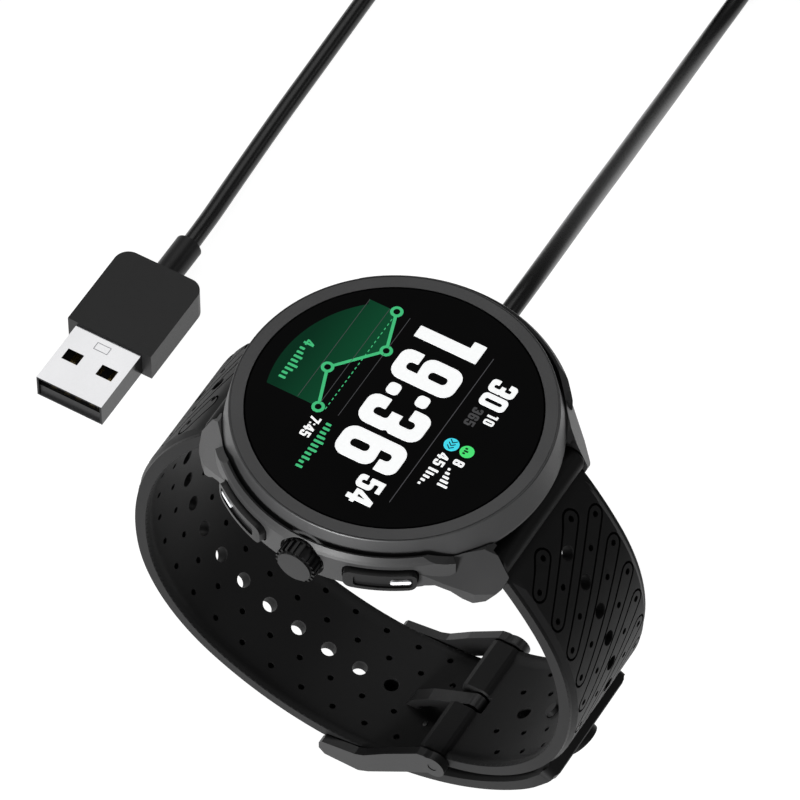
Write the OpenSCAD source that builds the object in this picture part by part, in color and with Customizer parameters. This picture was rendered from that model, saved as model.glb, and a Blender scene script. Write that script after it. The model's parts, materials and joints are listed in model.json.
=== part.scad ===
// Round GPS running watch on its magnetic charging lead.
// The watch stands on its fastened strap with the dial level and facing up.
// +X is the crown side (3 o'clock), +Y is 12 o'clock, +Z is up, in millimetres.
// The origin is on the floor, under the centre of the dial.

/* [Watch head] */
// Outer diameter of the bezel
bezel_d = 49; // [48.8:0.1:49.2]
// Diameter of the cover glass
glass_d = 43.3; // [43:0.1:43.4]
// Thickness of the head, glass to case back
head_t = 12.6; // [12.6:0.1:12.8]
// Height of the glass above the floor
face_z = 76; // [75.9:0.1:76.2]

/* [Crown and pushers] */
// Diameter over the crown's knurl
crown_d = 6.4; // [6:0.1:6.6]
// How far the crown presses in
crown_travel = 0.4; // [0.3:0.05:0.45]
// How far a pusher presses in
press_travel = 0.5; // [0.3:0.05:0.55]
// Angle of each pusher from the crown
pusher_angle = 26; // [25:0.5:27]
// Length of a pusher around the case
pusher_len = 10.6; // [9.5:0.1:11]
// Height of a pusher
pusher_h = 3.5; // [3.2:0.1:3.6]
// Corner radius of each pusher seen from its side of the case
pusher_corner = 1.1; // [0.6:0.1:1.5]

/* [Strap] */
// Width of the strap
strap_w = 22.6; // [22:0.1:22.6]
// Thickness of the strap
strap_t = 2.5; // [2.3:0.1:2.6]
// Gap between a pair of lugs
lug_gap = 22.8; // [22.8:0.1:23]
// Distance of each spring bar from the dial axis
bar_y = 23.2; // [23.1:0.1:23.4]

/* [Charging lead] */
// Diameter of the charging puck
puck_d = 30; // [29:0.5:32]
// Diameter of the cable
cable_d = 3; // [2.9:0.1:3]
// Width of the plug's overmould
plug_w = 15.4; // [15:0.1:16]
// Length of the plug's overmould
plug_len = 16.5; // [16:0.1:17]
// Height of the plug's overmould
plug_h = 5.6; // [5.4:0.1:6]

/* [Hidden] */
$fn = 72;

// Gaps: running clearance of a shaft, and a plain assembly gap
run_gap = 0.05;
fit_gap = 0.1;

// Head, as radii and as heights below the glass (negative)
bezel_r = bezel_d / 2;
glass_r = glass_d / 2;
seat_r = glass_r + 0.05;
back_z = -head_t;
cavity_r = 19.4;
body_r = bezel_r + 0.1;
shoulder_r = 26.1;
skirt_clear_r = bezel_r + 0.5;
skirt_z = -5.3;
pocket_y = 20.9;
lug_x = lug_gap / 2;
facet_angle = 52;
facet_tilt = 20;
window_r = 8.5;
screw_ring_r = 21.3;

// Crown and pushers: axis heights below the glass, and radial stations from the dial axis
crown_z = -5.7;
pusher_z = -5.8;
crown_out = 28.2;
crown_in = 25.3;
stem_r = 1;
pusher_out = 27.1;
pusher_back = 25.4;
pusher_stem_r = 0.8;
switch_gap = 0.1;
stem_end = 18.4;
crown_stem_end = 17.4;
crown_floor = 24.8;
spring_seat = 22.6;
pocket_floor = 24.2;

// Spring bars: centre line height below the glass
bar_z = -9.4;
bar_r = 0.9;
pin_r = 0.5;
lug_hole_depth = 1;
barrel_r = 2.1;

// Strap centre lines: start [y, z, heading] and arcs [radius, turn], heights from the glass
buckle_start = [22.6, -9.6, -48];
buckle_arcs = [[68, -12], [34, -41], [27, -69]];
tail_start = [-22.6, -9.6, -140];
tail_arcs = [[42, 57], [27, 50], [44, 74], [26, 19]];
arc_step = 4;
// Arc between the stud and the end of the tail
stud_turn = 10;

// Buckle: pivot and sizes, heights above the floor
pivot_y = 14.1;
pivot_z = 10.5;
buckle_pin_r = 0.7;
buckle_out = 13;
buckle_in = 11.55;

// Charging puck, heights below the glass
puck_r = puck_d / 2;
puck_top = back_z - 0.04;
puck_bottom = puck_top - 4.4;
lead_z = face_z - 15.2;
relief_end = -27.5;
contact_x = -12;
contact_pitch = 3;

// Cable: lies on the floor at its own radius
cable_r = cable_d / 2;
tie_t = 0.5;
turn_pitch = 3.1;
coil_x = -163.5;
coil_y = -52.3;
coil_out = 22.7;
coil_in = coil_out - 3 * turn_pitch;
coil_h = 2 * turn_pitch;
// Cable from the puck's strain relief down to the floor and round to the coil's left side
route_a = [
    [-27, 0, 60.8], [-33, 0, 60.8], [-41, -0.6, 59.1], [-51, -2.3, 54.6], [-62.6, -4.8, 48],
    [-75.4, -7.8, 39.9], [-88.8, -11, 31.2], [-102.4, -14.3, 22.4], [-115.7, -17.3, 14.3],
    [-128.2, -19.8, 7.7], [-139.2, -21.5, 3.2], [-148.2, -22.1, 1.6], [-158, -22.3, 1.6],
    [-167, -23.8, 1.6], [-175, -27.4, 1.7], [-181.2, -33, 1.8], [-185, -40.3, 1.9],
    [-186.2, -47, 2], [-186.2, -52.3, 2]
];
// Cable from the coil's near side along the floor to the plug
route_b = [
    [-163.5, -75, 5.1], [-156, -75, 4.8], [-148, -75, 3.8], [-140, -75, 2.5], [-132, -75, 1.7],
    [-124, -75, 1.6], [-116, -74.8, 1.6], [-102, -74.4, 1.6], [-88, -74, 1.6], [-74, -73.3, 1.8],
    [-66, -72.7, 2.3], [-61, -72.4, 2.7], [-57.6, -72.3, 2.8]
];

// Plug: centre line and stations along X
plug_y = -72.3;
plug_front = -34.2;
shell_w = 12;
shell_h = 4.5;
shell_len = 12;
shell_wall = 0.35;
shell_root = 6;
tongue_t = 1.9;
shell_floor = (plug_h - shell_h) / 2 + shell_wall + 0.01;
boot_end = -58;

// ---- Helpers ----

// Points [y, z, heading] along one arc; a positive turn bends left
function arc_points(from, arc) =
    let (side = sign(arc[1]), steps = ceil(abs(arc[1]) / arc_step))
    [for (k = [1:steps]) let (h = from[2] + arc[1] * k / steps) [
        from[0] + side * arc[0] * (sin(h) - sin(from[2])),
        from[1] - side * arc[0] * (cos(h) - cos(from[2])), h]];

// Points along a chain of arcs, without the first
function chain_rest(from, arcs, i = 0) =
    i == len(arcs) ? [] :
    let (pts = arc_points(from, arcs[i]))
    concat(pts, chain_rest(pts[len(pts) - 1], arcs, i + 1));
function chain(from, arcs) = concat([from], chain_rest(from, arcs));

// Outline of a band of thickness t around a centre line
function band(pts, t) = concat(
    [for (p = pts) [p[0] - t / 2 * sin(p[2]), p[1] + t / 2 * cos(p[2])]],
    [for (i = [len(pts) - 1:-1:0]) [pts[i][0] + t / 2 * sin(pts[i][2]), pts[i][1] - t / 2 * cos(pts[i][2])]]);

// Direction of a route at point i, as a unit vector
function unit(v) = v / norm(v);
function heading(route, i) =
    let (a = route[max(0, i - 1)], b = route[min(len(route) - 1, i + 1)]) unit(b - a);

// Ring of eight points around point i of a route
function ring_points(route, i, r) =
    let (t = heading(route, i), side = unit(cross(t, [0, 0, 1])), up = cross(side, t))
    [for (k = [0:7]) route[i] + r * (cos(k * 45) * side + sin(k * 45) * up)];

// Tube swept along a route
module tube(route, r) {
    last = len(route) - 1;
    points = [for (i = [0:last], p = ring_points(route, i, r)) p];
    sides = [for (i = [0:last - 1], k = [0:7]) [
        i * 8 + k, i * 8 + (k + 1) % 8, (i + 1) * 8 + (k + 1) % 8, (i + 1) * 8 + k]];
    ends = [[for (k = [7:-1:0]) k], [for (k = [0:7]) last * 8 + k]];
    polyhedron(points, concat(sides, ends));
}

// Lifts children from the glass plane to their height above the floor
module head() {
    translate([0, 0, face_z]) children();
}

// Extrudes a [y, z] outline along X, centred
module along_x(w) {
    rotate([90, 0, 90]) linear_extrude(w, center = true) children();
}

// Block along Z with rounded corners, by its sizes along X and Y
module rounded_block(size_x, size_y, corner, depth) {
    linear_extrude(depth) polygon([for (q = [0:3]) for (t = [0:22.5:90])
        [((q == 0 || q == 3) ? 1 : -1) * (size_x / 2 - corner) + corner * cos(q * 90 + t),
            (q < 2 ? 1 : -1) * (size_y / 2 - corner) + corner * sin(q * 90 + t)]]);
}

// Turns children that run along +X to a radial line at an angle and height
module radial(angle, z) {
    translate([0, 0, face_z + z]) rotate([0, 0, angle]) rotate([0, 90, 0]) children();
}

// Round bar along the radial line, between two stations
module radial_rod(angle, z, from, to, r) {
    radial(angle, z) translate([0, 0, from]) cylinder(r = r, h = to - from);
}

// Flat washer along the radial line
module radial_washer(angle, z, from, to, r_in, r_out) {
    difference() {
        radial_rod(angle, z, from, to, r_out);
        radial_rod(angle, z, from - 1, to + 1, r_in);
    }
}

// Rod along X at a height above the floor
module rod_x(from, to, y, z, r) {
    translate([from, y, z]) rotate([0, 90, 0]) cylinder(r = r, h = to - from);
}

// Disc or ring below the glass
module disc(top, bottom, r, hole = 0) {
    head() difference() {
        translate([0, 0, bottom]) cylinder(r = r, h = top - bottom);
        if (hole > 0) translate([0, 0, bottom - 1]) cylinder(r = hole, h = top - bottom + 2);
    }
}

// ---- Watch head ----

// Raised shoulder around the crown side or the side opposite, falling away towards the lugs
module shoulder(side) {
    rotate([0, 0, side]) intersection() {
        rotate([0, 0, -50]) rotate_extrude(angle = 100) polygon([
            [24, -5.5], [24, -2.6], [25.4, -2], [shoulder_r - 0.2, -2.7],
            [shoulder_r, -3.2], [shoulder_r, -8.2], [24, -9.9]]);
        along_x(80) polygon([
            [-15.5, -1.5], [15.5, -1.5], [18.8, -3.8], [22, -5.4], [18.6, -7.4], [15.8, -8.45],
            [13.5, -11], [-13.5, -11], [-15.8, -8.45], [-18.6, -7.4], [-22, -5.4], [-18.8, -3.8]]);
    }
}

// One lug: a plan outline crossed with a side outline, with a broad sloping outer facet
module lug() {
    difference() {
        intersection() {
            linear_extrude(30, center = true) polygon([
                [lug_x - 1, 12], [21.6, 12], [20.5, 16.2], [18.4, 19.2], [15.9, 22.6],
                [12.8, 25.7], [lug_x - 1, 26]]);
            along_x(60) polygon([
                [12, -4.9], [18.5, -3.7], [22.2, -4.5], [24.2, -6.6], [25.8, -9.8], [25.3, -11.8],
                [23.8, -13.4], [22.4, -13.2], [21.2, -11.9], [19.8, -9.8], [18, -8.1], [12, -7.6]]);
        }
        translate([14, 20.95, -4.4]) rotate([0, -facet_tilt, facet_angle])
            translate([0, -15, -15]) cube(30);
    }
}

// Wall around the works, with a rim under the bezel and a ledge for the case back's gasket
module case_ring() {
    rotate_extrude() polygon([
        [21.3, -2.55], [bezel_r - 1.2, -2.55], [bezel_r - 1.2, -5.4], [body_r, -5.4],
        [body_r, -8.8], [23.2, -11.6], [20.3, -11.6], [20.3, -10.6],
        [cavity_r, -10.6], [cavity_r, -4], [21.3, -4]]);
}

// Shoulders and lugs, clear of the bezel's skirt and of the works
module case_flanks() {
    difference() {
        union() {
            shoulder(0);
            shoulder(180);
            for (mx = [0, 1], my = [0, 1]) mirror([mx, 0, 0]) mirror([0, my, 0]) lug();
        }
        translate([0, 0, -5.38]) cylinder(r = skirt_clear_r, h = 10);
        translate([0, 0, -20]) cylinder(r = 22.8, h = 30);
    }
}

module mid_case() color([0.16, 0.16, 0.17]) {
    difference() {
        head() union() {
            case_ring();
            case_flanks();
        }
        // Room for the strap's ends between the lugs
        head() for (turn = [0, 180]) rotate([0, 0, turn]) {
            translate([-lug_x, pocket_y, -20]) cube([lug_gap, 8, 14.6]);
            translate([-lug_x, 23.6, -6]) cube([lug_gap, 8, 6]);
        }
        // Spring-bar holes in the lugs
        for (y = [-bar_y, bar_y])
            rod_x(-lug_x - lug_hole_depth, lug_x + lug_hole_depth, y, face_z + bar_z, pin_r + run_gap);
        // Crown bore and recess
        radial_rod(0, crown_z, 17, 30, 1.6);
        radial_rod(0, crown_z, crown_floor, 30, crown_d / 2 + 0.4);
        // Pusher bores, spring seats and pockets
        for (a = [-pusher_angle, pusher_angle]) {
            radial_rod(a, pusher_z, 17, 30, pusher_stem_r + run_gap);
            radial_rod(a, pusher_z, spring_seat, 30, 1.75);
            radial(a, pusher_z) translate([0, 0, pocket_floor])
                rounded_block(pusher_h + 0.4, pusher_len + 0.4, pusher_corner + 0.2, 6);
        }
        back_screw_holes(0.5);
    }
}

// Ring with a seat for the glass, notched below where the crown and pushers pass
module bezel() color([0.3, 0.3, 0.31]) difference() {
    head() rotate_extrude() polygon([
        [seat_r, 0], [bezel_r - 0.97, 0], [bezel_r - 0.94, -0.09], [bezel_r - 0.84, -0.09],
        [bezel_r - 0.81, 0], [bezel_r - 0.68, -0.02], [bezel_r - 0.6, -0.14],
        [bezel_r + 0.3, -4.8], [bezel_r + 0.3, skirt_z], [bezel_r - 1.1, skirt_z],
        [bezel_r - 1.1, -2.5], [20.6, -2.5], [20.6, -1.9], [seat_r, -1.9]]);
    radial_rod(0, crown_z, 22, 26, 1.7);
    for (a = [-pusher_angle, pusher_angle]) radial_rod(a, pusher_z, 22, 26, 1.8);
}

module display_glass() color([0.02, 0.02, 0.02]) head() rotate_extrude() polygon([
    [0, -1.6], [glass_r, -1.6], [glass_r, -0.25], [glass_r - 0.25, 0], [0, 0]]);

module glass_gasket() color([0.1, 0.1, 0.1]) disc(-1.6, -1.9, 21.6, 20.7);

module display_panel() color([0.03, 0.03, 0.03]) disc(-1.62, -2.8, 20.2);

module antenna_ring() color([0.75, 0.6, 0.3]) disc(-2.6, -3.2, 21.2, 20.6);

module chassis() color([0.3, 0.3, 0.32]) head() difference() {
    translate([0, 0, -4]) cylinder(r = 21.1, h = 0.7);
    translate([-6, 8, -5]) cube([12, 3, 3]);
}

module main_board() color([0.05, 0.3, 0.12]) disc(-4.15, -4.95, 16.8);

// Shield cans, chips and the pressure sensor under the board
module board_parts() color([0.7, 0.7, 0.72]) head() {
    translate([-14, -11, -6.1]) cube([11, 9, 1.15]);
    translate([-9, 3, -6.1]) cube([10, 8, 1.15]);
    translate([2, -4, -5.9]) cube([6, 5, 0.95]);
    translate([9, 8, -6]) cylinder(r = 1.5, h = 1.05);
}

module battery() color([0.55, 0.56, 0.6]) head() translate([-3.5, 0, -10.2]) cylinder(r = 12.4, h = 4);

module vibration_motor() color([0.7, 0.7, 0.7]) head() translate([2, -15.3, -9.8]) cylinder(r = 3.5, h = 2.8);

// Switch under the board whose face meets a stem at the end of its travel
module side_switch(reach) {
    translate([reach - switch_gap - 2.4, -1.5, -7.3]) cube([2.4, 3, 2.35]);
}

// Dome switches behind the crown and the two pushers, hanging from the board
module side_switches() color([0.8, 0.8, 0.78]) head() {
    side_switch(crown_stem_end - crown_travel);
    for (a = [-pusher_angle, pusher_angle]) rotate([0, 0, a]) side_switch(stem_end - press_travel);
}

// Four places around the case back
module four_screws() {
    for (k = [0:3]) rotate([0, 0, 45 + k * 90]) translate([screw_ring_r, 0, 0]) children();
}

module back_screw_holes(r) {
    head() four_screws() translate([0, 0, -15]) cylinder(r = r, h = 5.6);
}

module case_back() color([0.2, 0.2, 0.21]) difference() {
    head() rotate_extrude() polygon([
        [window_r + fit_gap, -11], [20.2, -11], [20.2, -11.65], [22.4, -11.65],
        [22.3, back_z], [window_r + fit_gap, back_z]]);
    back_screw_holes(0.55);
    head() four_screws() translate([0, 0, back_z - 1]) cylinder(r = 0.9, h = 1.5);
    head() for (k = [-1.5:1.5])
        translate([contact_x, k * contact_pitch, back_z - 1]) cylinder(r = 0.9, h = 1.6);
}

module back_gasket() color([0.1, 0.1, 0.1]) disc(-10.6, -11, 20.2, 19.5);

module back_screws() color([0.6, 0.6, 0.62]) head() four_screws() {
    translate([0, 0, -12.5]) cylinder(r = 0.48, h = 2.9);
    difference() {
        translate([0, 0, back_z]) cylinder(r = 0.85, h = 0.45);
        translate([0, 0, back_z - 1]) cylinder(r = 0.35, h = 1.2, $fn = 6);
    }
}

module sensor_window() color([0.05, 0.05, 0.06]) head() rotate_extrude() polygon([
    [0, -11.9], [window_r, -11.9], [window_r, back_z], [7.8, back_z - 0.15],
    [5, back_z - 0.4], [0, back_z - 0.5]]);

// Light emitters and photodiodes behind the optical window
module sensor_leds() color([0.2, 0.8, 0.3]) head() {
    for (k = [0:3]) rotate([0, 0, k * 90]) translate([4.2, -1, -11.85]) cube([2, 2, 0.8]);
    translate([-1.2, -1.2, -11.85]) cube([2.4, 2.4, 0.8]);
}

module charge_contacts() color([0.9, 0.75, 0.4]) head() for (k = [-1.5:1.5])
    translate([contact_x, k * contact_pitch, back_z]) cylinder(r = 0.85, h = 0.55);

// ---- Crown ----

module crown_tube() color([0.6, 0.6, 0.62])
    radial_washer(0, crown_z, 19, 26, stem_r + run_gap, 1.58);

module crown_washer() color([0.6, 0.6, 0.62])
    radial_washer(0, crown_z, 18.4, 18.95, stem_r + run_gap, 1.55);

module crown_spring() color([0.7, 0.7, 0.72])
    radial_washer(0, crown_z, crown_floor + crown_travel + 0.05, 26.98, 1.7, 2.05);

// Knurled cup over the tube, with sixteen slots
module crown_knob() color([0.12, 0.12, 0.12]) difference() {
    radial_rod(0, crown_z, crown_in, crown_out - 0.35, crown_d / 2);
    radial_rod(0, crown_z, crown_in - 1, 27, 2.15);
    radial_rod(0, crown_z, 26, 27.6, stem_r + 0.02);
    radial_rod(0, crown_z, crown_out - 0.8, crown_out, crown_d / 2 - 0.5);
    for (k = [0:19]) radial(0, crown_z) rotate([0, 0, k * 18])
        translate([crown_d / 2 - 0.42, -0.27, crown_in + 0.3]) cube([1, 0.54, 3]);
}

module crown_cap() color([0.42, 0.42, 0.43])
    radial_rod(0, crown_z, crown_out - 0.78, crown_out, crown_d / 2 - 0.52);

module crown_stem() color([0.6, 0.6, 0.62]) difference() {
    radial_rod(0, crown_z, crown_stem_end, 27.35, stem_r);
    radial_washer(0, crown_z, 17.9, 18.35, 0.7, 2);
    radial_washer(0, crown_z, 22.8, 23.5, 0.7, 2);
}

module crown_seal() color([0.1, 0.1, 0.1])
    radial_washer(0, crown_z, 22.85, 23.45, 0.72, stem_r + run_gap - 0.02);

module crown_clip() color([0.6, 0.6, 0.62])
    radial_washer(0, crown_z, 17.92, 18.33, 0.72, 1.5);

// ---- Pushers ----

// Curved cap with a raised rim around its outer face
module pusher_cap(a) color([0.1, 0.1, 0.1]) difference() {
    intersection() {
        head() translate([0, 0, pusher_z - pusher_h / 2]) difference() {
            cylinder(r = pusher_out, h = pusher_h);
            translate([0, 0, -1]) cylinder(r = pusher_back, h = pusher_h + 2);
        }
        radial(a, pusher_z) translate([0, 0, 20])
            rounded_block(pusher_h, pusher_len, pusher_corner, 10);
    }
    radial_rod(a, pusher_z, 20, pusher_back + 0.7, pusher_stem_r + 0.02);
    intersection() {
        head() translate([0, 0, pusher_z - pusher_h / 2 - 1]) difference() {
            cylinder(r = 30, h = pusher_h + 2);
            translate([0, 0, -1]) cylinder(r = pusher_out - 0.35, h = pusher_h + 4);
        }
        radial(a, pusher_z) translate([0, sign(a) * 0.45, 20])
            rounded_block(pusher_h - 1.3, pusher_len - 2.1, 0.5, 10);
    }
}

module pusher_stem(a) color([0.6, 0.6, 0.62]) difference() {
    radial_rod(a, pusher_z, stem_end, pusher_back + 0.6, pusher_stem_r);
    radial_washer(a, pusher_z, 18.8, 19.2, 0.55, 2);
    radial_washer(a, pusher_z, 21, 21.6, 0.55, 2);
}

module pusher_seal(a) color([0.1, 0.1, 0.1])
    radial_washer(a, pusher_z, 21.03, 21.57, 0.57, pusher_stem_r + run_gap - 0.02);

module pusher_spring(a) color([0.7, 0.7, 0.72])
    radial_washer(a, pusher_z, spring_seat + press_travel + 0.05, pusher_back - 0.06, 1, 1.55);

module pusher_clip(a) color([0.6, 0.6, 0.62])
    radial_washer(a, pusher_z, 18.82, 19.18, 0.57, 1.3);

module upper_pusher_cap() pusher_cap(pusher_angle);
module upper_pusher_stem() pusher_stem(pusher_angle);
module upper_pusher_seal() pusher_seal(pusher_angle);
module upper_pusher_spring() pusher_spring(pusher_angle);
module upper_pusher_clip() pusher_clip(pusher_angle);
module lower_pusher_cap() pusher_cap(-pusher_angle);
module lower_pusher_stem() pusher_stem(-pusher_angle);
module lower_pusher_seal() pusher_seal(-pusher_angle);
module lower_pusher_spring() pusher_spring(-pusher_angle);
module lower_pusher_clip() pusher_clip(-pusher_angle);

// ---- Strap ----

// Tube of the spring bar with its fixed pin; the other end is open for the release pin
module spring_bar(y) color([0.6, 0.6, 0.62]) difference() {
    union() {
        rod_x(-10.8, 10.8, y, face_z + bar_z, bar_r);
        rod_x(10.7, lug_x + lug_hole_depth - 0.2, y, face_z + bar_z, pin_r);
    }
    rod_x(-12, -4.5, y, face_z + bar_z, pin_r + run_gap);
    translate([-10.3, y - 0.55, face_z + bar_z - 2]) cube([3, 1.1, 2]);
}

// Sliding pin with the small knob that a fingernail pulls
module release_pin(y) color([0.65, 0.65, 0.67]) {
    rod_x(-lug_x - lug_hole_depth + 0.2, -7, y, face_z + bar_z, pin_r);
    translate([-9.7, y, face_z + bar_z - 2.5]) cylinder(r = 0.45, h = 2.5);
}

module spring_bar_12() spring_bar(bar_y);
module spring_bar_6() spring_bar(-bar_y);
module release_pin_12() release_pin(bar_y);
module release_pin_6() release_pin(-bar_y);

// Round end of a strap half, and what is cut from it for the bar and its pin
module strap_barrel(y) {
    rod_x(-strap_w / 2, strap_w / 2, y, face_z + bar_z, barrel_r);
}
module strap_barrel_cut(y) {
    rod_x(-20, 20, y, face_z + bar_z, bar_r + run_gap);
    translate([-10.4, y - 0.6, face_z + bar_z - 3]) cube([3.2, 1.2, 3]);
}

module strap_buckle_half() color([0.09, 0.09, 0.09]) difference() {
    union() {
        strap_barrel(bar_y);
        head() along_x(strap_w) polygon(band(chain(buckle_start, buckle_arcs), strap_t));
        rod_x(-strap_w / 2, strap_w / 2, pivot_y, pivot_z, 1.7);
        along_x(strap_w) polygon([
            [pivot_y + 0.6, pivot_z + 1.6], [pivot_y + 0.6, pivot_z - 1.6],
            [10.7, pivot_z - 1.2], [10.7, pivot_z + 1.6]]);
    }
    strap_barrel_cut(bar_y);
    rod_x(-20, 20, pivot_y, pivot_z, buckle_pin_r + run_gap);
    translate([-1.6, 8, pivot_z - 5]) cube([3.2, pivot_y + 2 - 8, 10]);
    stud_line() cylinder(r = 1.4, h = 20, center = true);
}

module strap_tail_half() color([0.09, 0.09, 0.09]) difference() {
    union() {
        strap_barrel(-bar_y);
        head() along_x(strap_w) polygon(band(chain(tail_start, tail_arcs), strap_t));
    }
    strap_barrel_cut(-bar_y);
    // Hole that the tang has pulled into a slot
    translate([-1.5, 1, -1]) cube([3, 5.9, 9]);
    stud_line() cylinder(r = 1.2, h = 20, center = true);
}

// Axis of the stud near the end of the tail, pointing out of the loop
stud_arcs = [tail_arcs[0], tail_arcs[1], tail_arcs[2], [tail_arcs[3][0], tail_arcs[3][1] - stud_turn]];
stud_line_points = chain(tail_start, stud_arcs);
stud_at = stud_line_points[len(stud_line_points) - 1];
module stud_line() {
    translate([0, stud_at[0], face_z + stud_at[1]]) rotate([stud_at[2] + 180, 0, 0]) children();
}

// Stud through the tail: outer head, shank and the bulb in the other half's hole
module keeper_stud() color([0.12, 0.12, 0.12]) stud_line() {
    difference() {
        translate([0, 0, strap_t / 2]) cylinder(r = 3.1, h = 1.1);
        translate([0, 0, strap_t / 2 + 0.7]) cylinder(r = 1.6, h = 2);
    }
    translate([0, 0, -strap_t / 2 - 3.4]) cylinder(r = 1.15, h = strap_t + 3.5);
}

module buckle_pin() color([0.5, 0.5, 0.52])
    rod_x(-buckle_out + 0.1, buckle_out - 0.1, pivot_y, pivot_z, buckle_pin_r);

module buckle_frame() color([0.2, 0.2, 0.21]) difference() {
    union() {
        for (side = [-1, 1]) translate([side * (buckle_in + buckle_out) / 2, 0, 0]) {
            along_x(buckle_out - buckle_in) polygon([
                [-5.7, 2.3], [-5.7, 1], [-4.7, 0], [1.2, 0], [3, 1], [9.6, 5.9], [13.6, 8.7],
                [pivot_y + 1.6, pivot_z + 1.2], [12.6, 12.4], [11.4, 12.1], [5.9, 7.9],
                [2.2, 4.7], [0.6, 3.9], [-5.2, 2.9]]);
            rod_x(-(buckle_out - buckle_in) / 2, (buckle_out - buckle_in) / 2, pivot_y, pivot_z, 2.05);
        }
        along_x(2 * buckle_in + 0.2) polygon([
            [-5.7, 1.2], [-5.7, 1], [-4.7, 0], [1.2, 0], [3, 1], [3, 1.2]]);
    }
    rod_x(-20, 20, pivot_y, pivot_z, buckle_pin_r + run_gap);
    translate([-1.45, 1.3, -1]) cube([2.9, 4, 4]);
}

module buckle_tang() color([0.24, 0.24, 0.25]) difference() {
    union() {
        rod_x(-1.15, 1.15, pivot_y, pivot_z, 1.5);
        along_x(2.3) polygon([
            [pivot_y - 0.9, pivot_z + 1.2], [6.4, 7.9], [3.6, 5.6], [2.1, 2.6], [1.75, 0.75],
            [2.6, 0.75], [3.5, 2.3], [4.9, 4.8], [7, 6.5], [pivot_y - 0.6, pivot_z - 1.3]]);
    }
    rod_x(-20, 20, pivot_y, pivot_z, buckle_pin_r + run_gap);
}

// ---- Charger ----

module charger_cover() color([0.13, 0.13, 0.13]) difference() {
    disc(puck_top, puck_top - 0.8, puck_r, 9.3);
    head() for (k = [-1.5:1.5])
        translate([contact_x, k * contact_pitch, -20]) cylinder(r = 0.5, h = 10);
}

module charger_base() color([0.1, 0.1, 0.1]) difference() {
    head() rotate_extrude() polygon([
        [0, puck_bottom], [puck_r - 1, puck_bottom], [puck_r, puck_bottom + 1],
        [puck_r, puck_top - 0.8], [9.3, puck_top - 0.8], [9.3, -13.6], [0, -13.6]]);
    head() for (k = [-1.5:1.5])
        translate([contact_x, k * contact_pitch, puck_bottom + 0.9]) cylinder(r = 0.5, h = 10);
    head() for (a = [60, 120, 240, 300]) rotate([0, 0, a])
        translate([12.1, 0, puck_top - 2.8]) cylinder(r = 1.9, h = 3);
}

module charger_magnets() color([0.75, 0.75, 0.78]) head() for (a = [60, 120, 240, 300])
    rotate([0, 0, a]) translate([12.1, 0, puck_top - 2.75]) cylinder(r = 1.85, h = 1.9);

module charger_pins() color([0.9, 0.75, 0.4]) head() for (k = [-1.5:1.5])
    translate([contact_x, k * contact_pitch, puck_top - 2.6]) cylinder(r = 0.45, h = 2.62);

module charger_relief() color([0.1, 0.1, 0.1]) difference() {
    translate([-puck_r + 1, 0, lead_z]) rotate([0, -90, 0])
        cylinder(r1 = 2.15, r2 = 1.8, h = -relief_end - puck_r + 1);
    disc(0, -20, puck_r + 0.01);
    rod_x(relief_end - 1, relief_end + 3, 0, lead_z, cable_r + 0.02);
}

module charge_cable_a() color([0.04, 0.04, 0.04]) tube(route_a, cable_r - 0.02);

module charge_cable_b() color([0.04, 0.04, 0.04]) tube(route_b, cable_r - 0.02);

module cable_coil() color([0.04, 0.04, 0.04]) translate([coil_x, coil_y, tie_t]) rotate_extrude()
    polygon([[coil_in - cable_r, 0], [coil_out + cable_r, 0], [coil_out + cable_r, coil_h],
        [coil_in - cable_r, coil_h]]);

// Soft tie wrapped once around the turns
module cable_tie() color([0.12, 0.12, 0.12]) {
    // Inside of the loop, with room for the coil's curve across the tie's width
    loop_w = coil_out - coil_in + cable_d + 1.3;
    translate([coil_x, coil_y, 0]) rotate([0, 0, 60])
        translate([(coil_in + coil_out) / 2, 0, 0]) rotate([90, 0, 0])
            linear_extrude(6, center = true) difference() {
                translate([-loop_w / 2 - tie_t, 0]) square([loop_w + 2 * tie_t, coil_h + 2 * tie_t + 0.1]);
                translate([-loop_w / 2, tie_t - 0.02]) square([loop_w, coil_h + 0.1]);
            }
}

// ---- Plug ----

module usb_overmold() color([0.13, 0.13, 0.13]) difference() {
    union() {
        translate([0, plug_y, 0]) linear_extrude(plug_h) union() {
            translate([plug_front - plug_len + 2.5, -plug_w / 2]) square([plug_len - 2.5, plug_w]);
            translate([plug_front - plug_len, -plug_w / 2 + 2.5]) square([3, plug_w - 5]);
            for (s = [-1, 1])
                translate([plug_front - plug_len + 2.5, s * (plug_w / 2 - 2.5)]) circle(r = 2.5);
        }
        rod_x(boot_end, plug_front - plug_len + 1, plug_y, plug_h / 2, 2.3);
    }
    rod_x(boot_end - 1, boot_end + 3, plug_y, plug_h / 2, cable_r + 0.02);
    translate([plug_front - shell_root, plug_y - shell_w / 2, (plug_h - shell_h) / 2])
        cube([shell_root + 1, shell_w, shell_h]);
}

// Folded metal shell with four windows
module usb_shell() color([0.85, 0.85, 0.87])
translate([plug_front - shell_root, plug_y, plug_h / 2]) difference() {
    translate([0, -shell_w / 2 + 0.01, -shell_h / 2 + 0.01])
        cube([shell_len + shell_root, shell_w - 0.02, shell_h - 0.02]);
    translate([0.5, -shell_w / 2 + shell_wall, -shell_h / 2 + shell_wall])
        cube([shell_len + shell_root, shell_w - 2 * shell_wall, shell_h - 2 * shell_wall]);
    for (s = [-1, 1])
        translate([shell_root + shell_len - 7.3, s * 3.15 - 1.45, -5]) cube([2.2, 2.9, 10]);
}

module usb_tongue() color([0.03, 0.03, 0.03])
    translate([plug_front - shell_root + 0.6, plug_y - shell_w / 2 + shell_wall + 0.05, shell_floor])
        cube([shell_len + 5, shell_w - 2 * shell_wall - 0.1, tongue_t]);

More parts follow.
